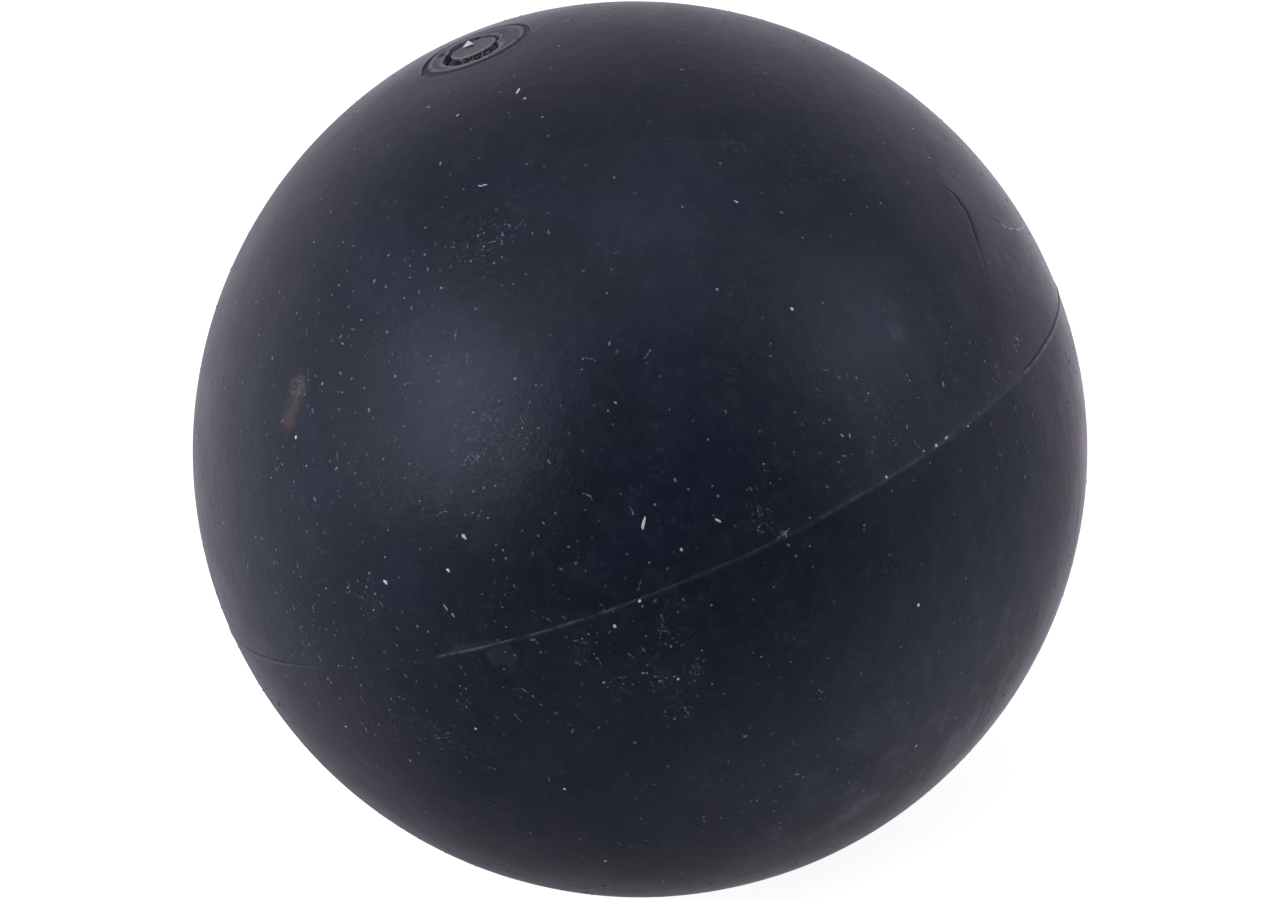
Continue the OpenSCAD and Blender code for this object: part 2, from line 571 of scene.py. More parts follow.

# Pale smears, and the painted reflection behind the valve: bearing, latitude, length, width, heading,
# strength
SMEARS = [
    (33, 13, 14, 8, 40, 0.4),
    (37.4, 15.2, 1.1, 0.4, -10, 1.6),
    (38.5, 14.6, 1.0, 0.75, 10, 1.6),
    (-22, 31, 9, 7, 0, 0.3),
    (56, 4, 3, 1.6, 20, 0.6),
    (51, 3.2, 2, 1.4, 0, 0.7),
    (38.4, -44.2, 2.6, 0.4, 11, 7),
    (34.3, -46.2, 5.5, 2.2, 3, 4),
    (31.8, -48, 2.6, 0.4, 8, 5),
    (12, -47.5, 4, 3, 0, 2.5),
    (-9, -51, 7, 4, 30, 1.6),
    (58.5, 17, 10, 5, -30, 0.25),
    (0, 80, 9, 14, 0, 1.3),
    # painted reflection: the bright skin behind the valve
    (180, 78, 9, 18, 0, 15),
]

# Dark scratches and scuffs, in the same terms
SCRATCHES = [
    (51.6, -32.5, 3, 0.3, 0, 0.35),
    (67, -27, 8, 0.4, 4, 0.3),
    (42.5, -43.5, 2.4, 0.35, 6, 0.4),
    (13.3, -38.2, 4, 3, 20, 0.25),
    (34.5, -43, 1.6, 1, 0, 0.2),
]

# Where lint has left a lacy film: bearing, latitude, length, width, heading, strength
LINT = [
    (-19.5, 23.5, 6, 4, 0, 1.0),
    (-16, 27.5, 5, 4, 30, 0.8),
    (-21, 35, 7, 3, 0, 0.4),
    (-10.5, 50, 6, 4, 40, 0.8),
    (-15.2, -3.6, 2.6, 1.8, 60, 1.0),
    (-5.5, -6.3, 3.4, 1.6, 50, 1.0),
    (-4.4, -10.6, 1.8, 1.4, 0, 1.0),
    (-8.8, -10.5, 2, 1.6, 0, 1.0),
    (-7.6, -15, 3, 1.6, 0, 0.8),
    (-14, -9.5, 4, 2, -30, 0.7),
    (10.3, 3.2, 3, 2, 0, 0.8),
    (30, 6, 6, 4, 20, 0.8),
    (-41.5, 8.4, 3, 2, 0, 0.8),
    (-42, -9.5, 4, 3, -20, 0.7),
    (57, 4, 3, 2, 0, 0.8),
]

# Where the skin was wiped and dried in streaks, in the same terms: low on the right, and by the creases
SMUDGES = [
    (40, -42, 24, 22, 0, 1),
    (8, -50, 14, 22, 0, 0.7),
    (68, -12, 34, 12, 0, 0.8),
    (40, 10, 12, 14, 0, 0.35),
]

# The rust-brown splash on the left, in three lobes; the olive crust on its top has no strength
STAIN = [
    (-49.9, 35.6, 2.2, 2.3, 20, 1),
    (-50.6, 33.6, 2.3, 1.9, 10, 0.9),
    (-51.7, 31.9, 2.2, 2.0, 10, 1),
]
STAIN_CRUST = (-49.9, 35.8, 2.6, 2.8, 20)


def strokes(points, marks):
    """The sum of soft marks given as bearing, latitude, length, width, heading and strength."""
    total = np.zeros(len(points))
    for *shape, strength in marks:
        total += strength * stroke(points, *shape)
    return total


def haze_and_painted_light(points):
    """Thin films of dust and grease, with painted light: the paler skin just above the flash, and a painted
    reflection on the skin at the back of the opening.
    """
    bearing, latitude = angles(points)
    films = sum(film_patch(points, corners) for corners in FILM_PATCHES)
    along = ramp(bearing, 8, 24) * ramp(bearing, 66, 54)
    # painted light: the skin just above the flash painted paler
    above = 0.5 * along * ramp(latitude, -0.3, 0.3) * ramp(latitude, 9, 0)
    behind_valve = (points[:, 1] > -1) & (points[:, 2] > 0)
    # painted reflection: the skin at the back of the opening painted pale
    painted_reflection = 3.5 * ramp(outside_port(points), 0.3, 0) * behind_valve
    return strokes(points, SMEARS) + 0.9 * films + above + painted_reflection


def lint(points):
    """Where lint lies as a lacy film, from 0 to 1."""
    return np.minimum(strokes(points, LINT), 1)


def smudge(points):
    """Where the skin is streaked, from 0 to 1."""
    return np.minimum(strokes(points, SMUDGES), 1)


def stain(points):
    """Where the splash lies, from 0 to 1."""
    return np.max([strength * stroke(points, *shape) for *shape, strength in STAIN], axis=0)


# ------------------------ valve
def ring_face(bearing, well, rim, t):
    """Height of the ring's crowned face, t of the way from its well to its rim."""
    r = well + (rim - well) * t
    out = (2 * t - 1) * (rim - well) / FACE_W
    crown = (RING_CROWN if t < 0.5 else 0.25 * RING_CROWN) * out**2
    rough = 0.1 + 0.09 * noise_round(bearing, r, 0.3, 5)
    torn = rough * bell(turn_from(bearing, 80), 32) * bell(r - 2.1, 0.55)
    nick = 0.25 * bell(turn_from(bearing, -119), 6) * bell(r - 2.55, 0.35)
    line = 0.025 * bell(turn_from(bearing, 75), 40) * bell(r - 3.2, 0.06)
    return height_on(BALL_R, r) - crown - torn - nick - line + 0.008 * noise_round(bearing, r, 0.25, 6)


def well_edge(bearing):
    """Radius of the worn well in the ring: wide on two sides, closed up against the disc on a third."""
    b = np.radians(bearing)
    ripple = 0.02 * np.sin(9 * b) + 0.02 * np.sin(31 * b + 1) + 0.015 * np.sin(57 * b)
    near = 1.13 * bell(turn_from(bearing, -3), 60)
    far = 0.8 * bell(turn_from(bearing, -165), 35)
    closed = 0.86 * bell(turn_from(bearing, 70), 26)
    return WELL_R + off_pole(bearing) + ripple + near + far - closed


def ring_rim(bearing):
    """Radius of the outer edge of the ring's face."""
    b = np.radians(bearing)
    ripple = 0.02 * np.sin(6 * b + 2) + 0.012 * np.sin(27 * b)
    return RING_R + off_pole(bearing) + ripple - 0.18 * bell(turn_from(bearing, -100), 30)


def well_rings(bearings, well):
    """The stopper's bore, and the well's floor and wall with a torn shelf on one side."""
    foot = np.minimum(DISC_R + 0.2, well - 0.05)
    shelf = 0.6 * bell(turn_from(bearings, 60), 28)
    crumbs = 1 + 0.3 * noise_round(bearings, 3, 0.3, 3)
    rings = [(BORE_R, SLEEVE_Z), (BORE_R, WELL_Z), (foot, WELL_Z)]
    for t in (0.3, 0.6, 0.9):
        rings.append((foot + (well - foot) * t, WELL_Z + ramp(t, 0, 0.7) * shelf * crumbs))
    return rings + [(well, WELL_Z + shelf), (well, WELL_Z + np.maximum(0.35, shelf + 0.02))]


def packed_dirt_rings(bearings, rim):
    """The dirt that fills the groove between the ring's face and the skin."""
    b = np.radians(bearings)
    edge = port_edge(bearings)
    z = PORT_Z - DIRT_DEPTH + 0.03 * np.sin(13 * b) * np.sin(29 * b)
    return [(rim + 0.03, z + 0.02), ((rim + edge) / 2, z - 0.02), (edge - 0.02, z + 0.03)]


def behind_face_rings():
    """The part of the ring that the wall holds: shoulder, neck, flange, taper and sleeve."""
    neck_z = height_on(INNER_R, NECK_R) - PRESS_GAP
    catch_z = height_on(INNER_R, FLANGE_R) - PRESS_GAP
    rings = [(SHOULDER_R, GROOVE_Z), (SHOULDER_R, SEAT_Z), (NECK_R, SEAT_Z), (NECK_R, neck_z)]
    rings += [(FLANGE_R, catch_z), (FLANGE_R, FLANGE_Z)]
    return rings + [(SLEEVE_R, FLANGE_Z - LEAD_LEN), (SLEEVE_R, SLEEVE_Z)]


def valve_ring(material):
    """The ring that snaps into the wall: crowned face, seat, neck, flange and sleeve."""
    bearings = np.linspace(-180, 180, 240, endpoint=False)
    well = well_edge(bearings)
    rim = ring_rim(bearings)
    rings = well_rings(bearings, well)
    for t in np.linspace(0, 1, 26):
        rings.append((well + (rim - well) * t, ring_face(bearings, well, rim, t)))
    rings += packed_dirt_rings(bearings, rim)
    rings += behind_face_rings()
    mesh = grid_mesh("ring_body", turned(rings[::-1], bearings))
    scuff_ring(mesh, bearings, well, rim)
    swell(mesh)
    finish_piece(mesh, material, "valve_ring")


def scuff_ring(mesh, bearings, well, rim):
    """Notes where the ring is rubbed pale, and where dirt covers it."""
    points = vertex_points(mesh)
    bearing = angles(points)[0]
    across = np.hypot(points[:, 0], points[:, 1])
    inner = across - np.interp(bearing, bearings, well)
    outer = across - np.interp(bearing, bearings, rim)
    rims = 1.3 * bell(inner - 0.1, 0.16) + bell(outer + 0.16, 0.17) + 0.3 * bell(outer + 0.75, 0.08)
    on_face = points[:, 2] > GROOVE_Z + 0.2
    in_well = (inner < -0.01) & (points[:, 2] > GROOVE_Z - 0.1)
    set_attribute(mesh, "wear_and_highlight", np.where(in_well, 1.5, on_face * np.minimum(rims, 1.4)))
    set_attribute(mesh, "dirt_and_shade", ramp(outer, -0.01, 0.04))


def stopper(material):
    """The stopper: a disc that stands a little tilted in the well, its stem and its barb."""
    bearings = np.linspace(-180, 180, 160, endpoint=False)
    b = np.radians(bearings)
    edge = DISC_R - DISC_WEAR + 0.02 * np.sin(5 * b) + 0.012 * np.sin(17 * b + 1)
    lean = DISC_TILT * np.cos(np.radians(turn_from(bearings, 150)))
    barb_z = SLEEVE_Z - PRESS_GAP
    foot_z = WELL_Z + 0.02
    rings = [(TIP_R, TIP_Z), (BARB_R, barb_z), (STEM_R, barb_z), (STEM_R, foot_z), (edge, foot_z)]
    rough = 0.025 * noise_round(bearings, DISC_R, 0.25, 4)
    for t in np.linspace(0.1, 1, 8):
        bulge = 0.06 * (1 - t) + rough * math.sin(math.pi * t)
        rings.append((edge + bulge, WELL_Z + t * (DISC_Z - DISC_BEVEL + lean - WELL_Z)))
    face_start = len(rings)
    rings += [(edge - 0.03, DISC_Z - 0.03 + lean), (edge - DISC_BEVEL, DISC_Z + lean)]
    for t in np.linspace(0.94, 0.06, 16):
        rings.append((t * (edge - DISC_BEVEL), DISC_Z + t * lean))
    grid = turned(rings, bearings)
    shift = DISC_SHIFT * direction(OFF_BEARING, 0)
    grid[grid[..., 2] > WELL_Z] += shift
    mesh = grid_mesh("stopper_body", grid, (0, 0, TIP_Z), tuple(shift + (0, 0, DISC_Z)))
    stopper_face_and_highlight(mesh, face_start * len(bearings), shift)
    swell(mesh)
    finish_piece(mesh, material, "stopper")


def stopper_face_and_highlight(mesh, first_on_face, shift):
    """Notes which points are on the disc's face, and the painted highlight inside its nearer edge."""
    points = vertex_points(mesh)
    on_face = np.arange(len(points)) >= first_on_face
    tip_point = -2
    on_face[tip_point] = False
    across = np.linalg.norm(points[:, :2] - shift[:2], axis=1)
    nearer = bell(turn_from(angles(points)[0], 5), 95)
    set_attribute(mesh, "face", on_face)
    # painted highlight: a bright line inside the disc's nearer edge
    set_attribute(mesh, "wear_and_highlight", on_face * bell(across - (DISC_R - DISC_WEAR - 0.08), 0.08) * nearer)


# ------------------------ materials
def put(tree, socket, value):
    """Links an output to a socket, or sets a plain value on it."""
    if isinstance(value, bpy.types.NodeSocket):
        tree.links.new(value, socket)
    else:
        socket.default_value = value


def maths_node(tree, kind, operation, values):
    """The result of a Math or Vector Math node."""
    node = tree.nodes.new(kind)
    node.operation = operation
    for socket, value in zip(node.inputs, values):
        put(tree, socket, value)
    return node.outputs["Value" if operation == "DOT_PRODUCT" else 0]


class Shader:
    """A material's node tree, built by short calls."""

    def __init__(self, name):
        self.material = bpy.data.materials.new(name)
        self.material.use_nodes = True
        self.tree = self.material.node_tree
        self.surface = self.tree.nodes["Principled BSDF"]
        coordinates = self.tree.nodes.new("ShaderNodeTexCoord")
        self.place = coordinates.outputs["Object"]

    def put(self, socket, value):
        """Links an output to a socket of this material, or sets a plain value on it."""
        put(self.tree, socket, value)

    def set(self, **values):
        """Puts values on the surface shader, by socket name with _ for a space."""
        for name, value in values.items():
            self.put(self.surface.inputs[name.replace("_", " ")], value)

    def noise(self, size, detail=3, roughness=0.5, stretch=(1, 1, 1)):
        """Noise from 0 to 1 with features about size millimetres across."""
        mapping = self.tree.nodes.new("ShaderNodeMapping")
        mapping.inputs["Scale"].default_value = stretch
        self.put(mapping.inputs["Vector"], self.place)
        node = self.tree.nodes.new("ShaderNodeTexNoise")
        self.put(node.inputs["Vector"], mapping.outputs["Vector"])
        node.inputs["Scale"].default_value = 1 / (size * MM)
        node.inputs["Detail"].default_value = detail
        node.inputs["Roughness"].default_value = roughness
        return node.outputs["Factor" if "Factor" in node.outputs else "Fac"]

    def attribute(self, name):
        """A number stored on the mesh's points."""
        node = self.tree.nodes.new("ShaderNodeAttribute")
        node.attribute_name = name
        return node.outputs["Fac"]

    def remap(self, value, start, end, low=0.0, high=1.0):
        """Carries start..end over to low..high, and holds the ends."""
        node = self.tree.nodes.new("ShaderNodeMapRange")
        node.interpolation_type = "SMOOTHSTEP"
        for name, setting in zip(("From Min", "From Max", "To Min", "To Max"), (start, end, low, high)):
            node.inputs[name].default_value = setting
        self.put(node.inputs["Value"], value)
        return node.outputs["Result"]

    def maths(self, operation, *values):
        """The result of a Math node."""
        return maths_node(self.tree, "ShaderNodeMath", operation, values)

    def mix(self, amount, a, b):
        """Colour a where amount is 0, colour b where it is 1."""
        node = self.tree.nodes.new("ShaderNodeMix")
        node.data_type = "RGBA"
        self.put(node.inputs["Factor"], amount)
        self.put(node.inputs["A"], (*a, 1) if isinstance(a, tuple) else a)
        self.put(node.inputs["B"], (*b, 1) if isinstance(b, tuple) else b)
        return node.outputs["Result"]

    def bump(self, height, depth, below=None):
        """Bump of the given depth in millimetres, over any bump below it."""
        node = self.tree.nodes.new("ShaderNodeBump")
        node.inputs["Distance"].default_value = depth * MM
        self.put(node.inputs["Height"], height)
        if below:
            self.put(node.inputs["Normal"], below)
        return node.outputs["Normal"]


SPECULAR_TINT = (0.77, 0.91, 1.0)
SPECULAR_LEVEL = 0.5
FILM = (0.30, 0.31, 0.35)
# pale chalk colour, also used for the painted highlight and painted light on the skin
CHALK_AND_HIGHLIGHT = (0.42, 0.44, 0.47)


def under_films(s, colour):
    """Lays mottling, smears, streaks, lint and chalk over the skin's colour, together with painted light
    above the seam, a painted reflection behind the valve and a painted highlight along the short crease.
    """
    mottle = s.remap(s.noise(3.2, 5, 0.65), 0.42, 0.72, 0.0, 0.022)
    mottle = s.maths("ADD", mottle, s.remap(s.noise(0.8, 4, 0.7), 0.45, 0.72, 0.0, 0.02))
    streaks = s.remap(s.noise(2, 5, 0.65, (1, 1, 0.35)), 0.47, 0.68, 0.0, 0.17)
    # haze films, with the painted light above the flash and the painted reflection behind the valve
    film = s.maths("MULTIPLY_ADD", s.attribute("haze_and_painted_light"), 0.06, mottle)
    film = s.maths("MULTIPLY_ADD", s.attribute("smudge"), streaks, film)
    colour = s.mix(film, colour, FILM)
    lace = s.remap(s.noise(0.33, 3, 0.6), 0.53, 0.68)
    anywhere = s.remap(s.noise(5, 2), 0.52, 0.7, 0.0, 0.5)
    lint = s.maths("MULTIPLY", lace, s.maths("MAXIMUM", s.attribute("lint"), anywhere))
    colour = s.mix(s.maths("MULTIPLY", lint, 0.15), colour, FILM)
    # chalk, with the painted highlight on the short crease and painted light above the seam
    pale = s.maths("MULTIPLY", s.attribute("chalk_and_highlight"), s.remap(s.noise(0.6, 4, 0.7), 0.36, 0.62, 0.2, 1.4))
    return s.mix(s.maths("MULTIPLY", pale, 0.3), colour, CHALK_AND_HIGHLIGHT)


def under_stain(s, colour):
    """Lays the rust-brown splash and its olive crust over the skin's colour."""
    blotch = s.noise(0.45, 5, 0.75)
    rust = s.mix(s.remap(s.noise(0.8, 3), 0.4, 0.6), (0.085, 0.05, 0.042), (0.1, 0.046, 0.042))
    olive = s.mix(s.remap(blotch, 0.4, 0.65), (0.06, 0.046, 0.036), (0.17, 0.14, 0.12))
    rust = s.mix(s.attribute("olive"), rust, olive)
    splash = s.maths("ADD", s.attribute("stain"), blotch)
    return s.mix(s.remap(splash, 0.75, 1.5, 0.0, 0.85), colour, rust)


def skin_material():
    """Near-black navy plastic with a matt, slightly dusty skin."""
    s = Shader("skin")
    colour = s.mix(s.remap(s.noise(9, 3), 0.4, 0.6), (0.001, 0.0045, 0.013), (0.0065, 0.0065, 0.021))
    colour = under_stain(s, under_films(s, colour))
    # dirt with painted shade in grooves and creases, and dirt in scratches: darker and rougher
    dirt_and_shade = s.attribute("dirt_and_shade")
    colour = s.mix(dirt_and_shade, colour, (0.002, 0.002, 0.004))
    s.set(Base_Color=colour, Specular_IOR_Level=SPECULAR_LEVEL, Specular_Tint=(*SPECULAR_TINT, 1))
    gloss = s.remap(s.noise(4, 4, 0.6), 0.3, 0.7, 0.33, 0.38)
    s.set(Roughness=s.maths("MULTIPLY_ADD", dirt_and_shade, 0.4, gloss))
    grain = s.bump(s.noise(0.35, 3, 0.6), 0.018)
    pitting = s.bump(s.noise(1, 4, 0.65), 0.03, grain)
    s.set(Normal=s.bump(s.noise(2.5, 3), 0.02, pitting))
    return s.material


def ring_material():
    """Greyer, purplish plastic, scuffed paler along its rims, with dirt packed round it."""
    s = Shader("ring")
    scuff = s.noise(0.5, 5, 0.65)
    colour = s.mix(s.remap(scuff, 0.4, 0.7), (0.022, 0.02, 0.028), (0.08, 0.074, 0.09))
    rub = s.maths("MULTIPLY", s.attribute("wear_and_highlight"), s.remap(scuff, 0.3, 0.6, 0.3, 1.0))
    colour = s.mix(s.maths("MULTIPLY", rub, 0.55), colour, (0.30, 0.28, 0.33))
    colour = s.mix(s.attribute("dirt_and_shade"), colour, (0.065, 0.062, 0.073))
    dull = s.remap(scuff, 0.3, 0.7, 0.36, 0.5)
    s.set(Base_Color=colour, Roughness=s.maths("MULTIPLY_ADD", s.attribute("dirt_and_shade"), 0.35, dull))
    s.set(Normal=s.bump(s.noise(0.2, 4, 0.6), 0.02))
    return s.material


def stopper_material():
    """Pale grey face with a painted highlight along its nearer edge, and a torn side painted near-black for
    shade.
    """
    s = Shader("stopper")
    colour = s.mix(s.remap(s.noise(0.8, 4), 0.35, 0.7), (0.06, 0.065, 0.07), (0.1, 0.105, 0.11))
    # painted highlight along the disc's nearer edge
    colour = s.mix(s.maths("MULTIPLY", s.attribute("wear_and_highlight"), 0.8), colour, (0.48, 0.48, 0.5))
    # the side painted near-black as shade, with grey patches
    side = s.mix(s.remap(s.noise(0.22, 3), 0.45, 0.7), (0.02, 0.02, 0.022), (0.3, 0.3, 0.31))
    colour = s.mix(s.attribute("face"), side, colour)
    s.set(Base_Color=colour, Roughness=s.remap(s.attribute("face"), 0, 1, 0.8, 0.42))
    s.set(Normal=s.bump(s.noise(0.2, 4, 0.6), 0.012))
    return s.material


def dust_material():
    """Whitish grains, each with its own tone, over a sheen like the skin's."""
    s = Shader("dust")
    tint = s.mix(s.remap(s.attribute("tone"), 0.45, 0.95), (0.86, 0.9, 1.0), (1.0, 0.97, 0.94))
    s.set(Base_Color=s.mix(s.attribute("tone"), (0, 0, 0), tint))
    s.set(Roughness=0.4, Specular_IOR_Level=0.8, Specular_Tint=(*SPECULAR_TINT, 1))
    return s.material


# ------------------------ dust
DUST = random.Random(11)

# Drifts of specks: bearing, latitude, spread in bearing, spread in latitude, count
DRIFTS = [
    (-30, 1, 24, 10, 210),
    (-44, 34, 11, 10, 105),
    (-60, 15, 8, 12, 50),
    (-15, 22, 20, 10, 35),
    (-18, 50, 12, 6, 35),
    (0, -26, 18, 8, 60),
    (0, -38, 20, 7, 60),
    (52, 1, 9, 7, 50),
    (15, 8, 14, 8, 45),
    (0, 79, 60, 5, 45),
]
# Loose tufts of lint: bearing, latitude, spread in millimetres, count
TUFTS = [
    (-10.5, 49.5, 1.5, 22),
    (-13.5, 46, 1.1, 8),
    (-19.5, 23.5, 1.4, 16),
    (-16, 25.5, 1.1, 8),
    (-21.5, 36, 1.6, 8),
    (-15.2, -3.6, 0.8, 16),
    (-5.5, -6.3, 0.9, 20),
    (-4.4, -10.6, 0.5, 10),
    (-8.8, -10.5, 0.6, 12),
    (-7.6, -15, 0.9, 8),
    (-14, -9.5, 1.0, 8),
    (-25, -7, 1.0, 8),
    (10.3, 3.2, 0.7, 14),
    (30, 6, 1.2, 14),
    (-41.5, 8.4, 0.9, 18),
    (-54, 7, 1.1, 16),
    (-42, -9.5, 1.2, 22),
    (57, 4, 0.5, 10),
    (51, 3.4, 0.6, 12),
    (-49.8, 35.4, 0.45, 12),
    (12.3, 0.5, 0.3, 8),
    (-11.3, 0.2, 0.15, 8),
]
THREADS_IN_FRONT = 28
GRAINS_IN_FRONT = 380
GRAINS_BEHIND = 550
TUFT_THREAD_EVERY = 9

# How far a grain's rim stands over the skin, and how deep its root reaches into it
GRAIN_LIFT = 0.01
GRAIN_ROOT = 0.05

# Flakes that stand out: bearing, latitude, length, width, heading, tone
FLAKES = [
    (9.7, 71.1, 0.75, 0.2, 41, 0.9),
    (9.9, 69, 0.3, 0.24, 0, 0.5),
    (-15.3, 71.1, 0.4, 0.2, 50, 0.5),
    (-10.3, 57.1, 0.5, 0.12, 125, 0.5),
    (-9.3, 57, 0.45, 0.13, 108, 0.65),
    (-3, 8.7, 0.95, 0.24, 32, 0.9),
    (5.4, 5.5, 0.5, 0.2, -44, 0.75),
    (-25, 14, 0.55, 0.26, -25, 0.8),
    (-37.9, 10.6, 0.42, 0.28, -34, 1.0),
    (-28.5, 10.5, 0.36, 0.22, -34, 0.9),
    (26, -17, 0.3, 0.28, 0, 1.0),
    (30, 39, 0.4, 0.14, -30, 0.6),
    (-50, 29.5, 0.27, 0.25, 0, 1.0),
    (-7, 0, 0.3, 0.26, 0, 0.9),
    (-27.5, -22.5, 0.26, 0.24, 0, 0.8),
    (-34, -10.5, 0.26, 0.24, 0, 0.75),
    (26.5, 24, 0.28, 0.25, 0, 0.8),
    (0, 4, 0.26, 0.22, 0, 0.7),
    (-32, -39, 0.26, 0.22, 30, 0.7),
    (-11, -2, 0.28, 0.26, 0, 0.75),
    (23.5, -40, 0.3, 0.22, 60, 0.7),
    (-6.5, -11.5, 0.24, 0.22, 0, 0.65),
    (24, 7.8, 0.36, 0.12, -25, 0.5),
    (24.9, 7.3, 0.36, 0.12, 25, 0.5),
    (35.6, 0.3, 0.28, 0.26, 0, 0.8),
    (37.5, 0.4, 0.42, 0.2, 80, 0.65),
    (33.5, 0.7, 0.2, 0.18, 0, 0.5),
    (41.5, -0.1, 0.24, 0.2, 0, 0.6),
    (27.2, 0.5, 0.26, 0.22, 0, 0.7),
    (-30.5, 6.1, 0.6, 0.16, -20, 0.45),
    (-29.9, 5, 0.4, 0.16, -15, 0.4),
    (57.6, 3.9, 0.5, 0.12, -30, 0.5),
    (12.3, 0.5, 0.7, 0.1, 70, 0.35),
    (12.3, 0.3, 0.4, 0.1, 10, 0.35),
    (70.5, 23, 0.24, 0.2, 0, 0.4),
    (68, 27.5, 0.26, 0.2, 0, 0.5),
    (72.5, 31, 0.26, 0.2, 0, 0.5),
]
# A white fleck at the stopper's far edge: bearing, latitude, length, width, heading, tone, corners, rise
EDGE_FLECK = (-172, 88.5, 1.2, 1.0, 210, 1.0, 3, -0.08)


class Grains:
    """Gathers many small closed lumps that sit on the skin into one mesh."""

    def __init__(self):
        self.points = []
        self.faces = []
        self.tones = []

    def add(self, bearing, latitude, length, width, heading, tone, sides=6, rise=0.0):
        """A lump with a ragged rim, a peak over its middle and a root in the skin."""
        up = direction(bearing, latitude)
        east = direction(bearing + 90, 0)
        north = np.cross(up, east)
        turn = math.radians(heading)
        along = north * math.cos(turn) + east * math.sin(turn)
        across = east * math.cos(turn) - north * math.sin(turn)
        foot = BALL_R + float(skin_relief(up[None] * BALL_R)[0]) + rise
        start = len(self.points)
        for k in range(sides):
            a = 2 * math.pi * k / sides
            reach = DUST.uniform(0.75, 1.1)
            spot = up * BALL_R + reach * (along * math.cos(a) * length + across * math.sin(a) * width) / 2
            self.points.append(spot / np.linalg.norm(spot) * (foot + GRAIN_LIFT))
        thick = min(0.1 + 0.3 * tone, 0.3) * width
        self.points.append(up * (foot + GRAIN_LIFT + thick))
        self.points.append(up * (foot - GRAIN_ROOT))
        for k in range(sides):
            after = (k + 1) % sides
            self.faces.append((start + k, start + after, start + sides))
            self.faces.append((start + after, start + k, start + sides + 1))
        self.tones += [tone] * (sides + 2)

    def mesh(self, name):
        """The lumps as a mesh that knows each one's tone."""
        mesh = bpy.data.meshes.new(name)
        mesh.from_pydata([tuple(p) for p in self.points], [], self.faces)
        set_attribute(mesh, "tone", self.tones)
        return mesh


def scatter(grains, bearing, latitude):
    """One random grain: most are faint, a few are bright or drawn out."""
    tone = min(0.025 + DUST.expovariate(1 / 0.105), 0.9)
    size = DUST.uniform(0.16, 0.23) - 0.06 * tone
    drawn_out = DUST.uniform(1.6, 2.6) if DUST.random() < 0.16 else DUST.uniform(0.9, 1.3)
    grains.add(bearing, latitude, size * drawn_out, size, DUST.gauss(-8, 40), tone)


def thread(grains, bearing, latitude, heading, count, tone):
    """A short bent string of small grains."""
    bend = DUST.gauss(0, 14)
    for _ in range(count):
        step = math.degrees(DUST.uniform(0.1, 0.26) / BALL_R)
        latitude += step * math.cos(math.radians(heading))
        bearing += step * math.sin(math.radians(heading)) / math.cos(math.radians(latitude))
        heading += bend + DUST.gauss(0, 10)
        width = DUST.uniform(0.08, 0.14)
        length = width * DUST.uniform(1.6, 2.8)
        grains.add(bearing, latitude, length, width, heading, tone * DUST.uniform(0.3, 1.5))


def tuft(grains, bearing, latitude, spread, count):
    """Lint that has shed small grains and a few strings of them."""
    for k in range(count):
        b = bearing + math.degrees(DUST.gauss(0, spread) / BALL_R) / math.cos(math.radians(latitude))
        t = latitude + math.degrees(DUST.gauss(0, spread) / BALL_R)
        if k % TUFT_THREAD_EVERY == 0:
            thread(grains, b, t, DUST.uniform(-180, 180), DUST.randint(2, 4), 0.12)
        else:
            size = DUST.uniform(0.1, 0.17)
            tone = 0.04 + DUST.expovariate(1 / 0.1)
            grains.add(b, t, size * DUST.uniform(1, 1.8), size, DUST.uniform(-90, 90), min(tone, 0.7))


def dust(material):
    """All the dust that lies on the skin."""
    grains = Grains()
    grains.add(*EDGE_FLECK)
    for flake in FLAKES:
        grains.add(*flake, sides=9)
    for bearing, latitude, wide, high, count in DRIFTS:
        for _ in range(count):
            scatter(grains, bearing + DUST.gauss(0, wide), latitude + DUST.gauss(0, high))
    for place in TUFTS:
        tuft(grains, *place)
    for _ in range(THREADS_IN_FRONT):
        thread(grains, DUST.gauss(-22, 24), DUST.gauss(8, 20), DUST.gauss(-8, 30), DUST.randint(2, 5), 0.16)
    for count, centre in ((GRAINS_IN_FRONT, 0), (GRAINS_BEHIND, 180)):
        for _ in range(count):
            latitude = math.degrees(math.asin(DUST.uniform(-1, 0.985)))
            scatter(grains, centre + DUST.uniform(-90, 90), latitude)
    finish_piece(grains.mesh("skin_dust"), material, None, sharp_angle=80)


# ------------------------ camera and light
ELEVATION = 17
ROLL = 22.6
DISTANCE = 14 * BALL_R * MM
LENS = 175.7


def view_axes():
    """The camera's right and up, and the way from the ball back to it."""
    lift = math.radians(ELEVATION)
    roll = math.radians(ROLL)
    level_right = Vector((1, 0, 0))
    level_up = Vector((0, math.sin(lift), math.cos(lift)))
    right = math.cos(roll) * level_right - math.sin(roll) * level_up
    up = math.sin(roll) * level_right + math.cos(roll) * level_up
    return right, up, Vector((0, -math.cos(lift), math.sin(lift)))


VIEW_RIGHT, VIEW_UP, VIEW_BACK = view_axes()


def from_view(x, y, z):
    """A direction given as right, up and towards the camera, in the object's frame."""
    return (x * VIEW_RIGHT + y * VIEW_UP + z * VIEW_BACK).normalized()


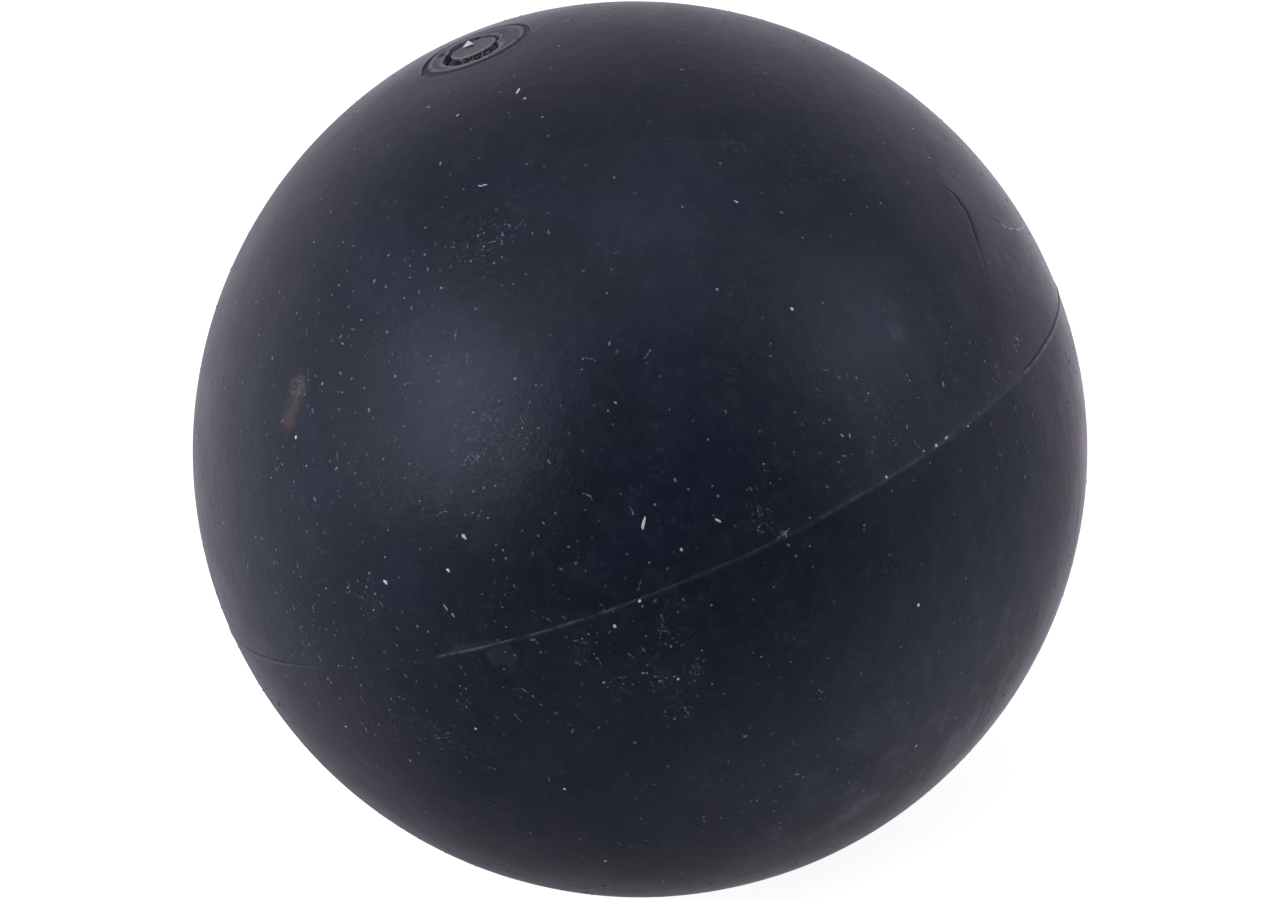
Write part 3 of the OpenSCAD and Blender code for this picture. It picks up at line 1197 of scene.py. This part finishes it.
def camera():
    """The camera at the side of the ball, leant over so that the valve lies up and to the left."""
    data = bpy.data.cameras.new("camera")
    data.lens = LENS
    data.clip_start = 0.01
    data.clip_end = 20
    eye = bpy.data.objects.new("camera", data)
    bpy.context.scene.collection.objects.link(eye)
    eye.location = VIEW_BACK * DISTANCE
    eye.rotation_mode = "QUATERNION"
    eye.rotation_quaternion = Matrix((VIEW_RIGHT, VIEW_UP, VIEW_BACK)).transposed().to_quaternion()
    bpy.context.scene.camera = eye


COOL_WHITE = (0.957, 0.947, 1.115)
ROSY_WHITE = (1.05, 0.92, 1.05)
LAMP_DISTANCE = 0.8


def softbox(name, aim, width, radiance):
    """A square lamp that looks at the ball; radiance 1 shows as white in a mirror."""
    data = bpy.data.lights.new(name, "AREA")
    data.shape = "SQUARE"
    data.size = width
    data.energy = radiance * math.pi * width**2
    data.color = COOL_WHITE
    lamp = bpy.data.objects.new(name, data)
    bpy.context.scene.collection.objects.link(lamp)
    lamp.location = aim * LAMP_DISTANCE
    lamp.rotation_mode = "QUATERNION"
    lamp.rotation_quaternion = aim.to_track_quat("Z", "Y")


def lamps():
    """The lamps whose soft reflections show on the front of the ball."""
    softbox("left_softbox", from_view(-0.69, 0.17, 0.71), 0.5, 1.05)
    softbox("left_surround", from_view(-0.78, 0.23, 0.58), 0.8, 0.49)


# Broad glows of the room: aim as right, up and towards the camera, focus, radiance, colour
GLOWS = [
    ((0.78, 0.42, 0.46), 20, 1.14, COOL_WHITE),
    ((0.0, 0.82, 0.57), 8, 0.69, COOL_WHITE),
    ((0.17, -0.97, 0.17), 8, 0.26, COOL_WHITE),
    ((-1.0, 0.0, 0.0), 2, 0.61, COOL_WHITE),
    ((1.0, 0.0, 0.0), 2, 0.3, COOL_WHITE),
    ((0.74, -0.62, -0.26), 8, 0.39, COOL_WHITE),
    ((0.54, 0.54, -0.64), 8, 0.28, COOL_WHITE),
    ((-0.77, 0.0, -0.64), 8, 0.23, COOL_WHITE),
    ((0.0, 0.5, -0.87), 2, 0.35, ROSY_WHITE),
    ((0.2, 0.04, -0.98), 30, 1.05, ROSY_WHITE),
    ((-0.35, 0.05, -0.93), 30, 0.3, ROSY_WHITE),
]


def glow_colour(tree):
    """The sum of the glows in each direction."""
    place = tree.nodes.new("ShaderNodeTexCoord").outputs["Generated"]
    total = (0, 0, 0)
    for aim, focus, radiance, colour in GLOWS:
        towards = maths_node(tree, "ShaderNodeVectorMath", "DOT_PRODUCT", (place, from_view(*aim)))
        falling = maths_node(tree, "ShaderNodeMath", "MULTIPLY_ADD", (towards, focus, -focus))
        glow = maths_node(tree, "ShaderNodeMath", "EXPONENT", (falling,))
        shade = tuple(radiance * channel for channel in colour)
        total = maths_node(tree, "ShaderNodeVectorMath", "MULTIPLY_ADD", (glow, shade, total))
    return total


def world():
    """White behind the object, and soft glows all round that leave it dark where the camera stands."""
    backdrop = bpy.data.worlds.new("studio")
    backdrop.use_nodes = True
    tree = backdrop.node_tree
    surround = tree.nodes["Background"]
    put(tree, surround.inputs["Color"], glow_colour(tree))
    white = tree.nodes.new("ShaderNodeBackground")
    put(tree, white.inputs["Color"], (1, 1, 1, 1))
    rays = tree.nodes.new("ShaderNodeLightPath")
    choose = tree.nodes.new("ShaderNodeMixShader")
    put(tree, choose.inputs["Fac"], rays.outputs["Is Camera Ray"])
    put(tree, choose.inputs[1], surround.outputs["Background"])
    put(tree, choose.inputs[2], white.outputs["Background"])
    put(tree, tree.nodes["World Output"].inputs["Surface"], choose.outputs["Shader"])
    bpy.context.scene.world = backdrop


def floor_material():
    """A pale floor: white to the camera, and it keeps a soft shadow."""
    s = Shader("floor")
    s.set(Base_Color=(0.5, 0.5, 0.5, 1), Roughness=1.0, Specular_IOR_Level=0.0)
    rays = s.tree.nodes.new("ShaderNodeLightPath")
    s.put(s.surface.inputs["Emission Color"], (1, 1, 1, 1))
    s.put(s.surface.inputs["Emission Strength"], s.maths("MULTIPLY", rays.outputs["Is Camera Ray"], 0.92))
    return s.material


def floor():
    """The ground that the ball stands on."""
    half = 1.5
    z = -BALL_R * MM
    corners = [(-half, -half, z), (half, -half, z), (half, half, z), (-half, half, z)]
    mesh = bpy.data.meshes.new("floor")
    mesh.from_pydata(corners, [], [(0, 1, 2, 3)])
    mesh.materials.append(floor_material())
    ground = bpy.data.objects.new("floor", mesh)
    bpy.context.scene.collection.objects.link(ground)
    ground.visible_glossy = False
    ground.visible_diffuse = False


camera()
lamps()
world()
floor()
ball_shell(skin_material())
valve_ring(ring_material())
stopper(stopper_material())
dust(dust_material())

bpy.context.scene.view_settings.view_transform = "Standard"
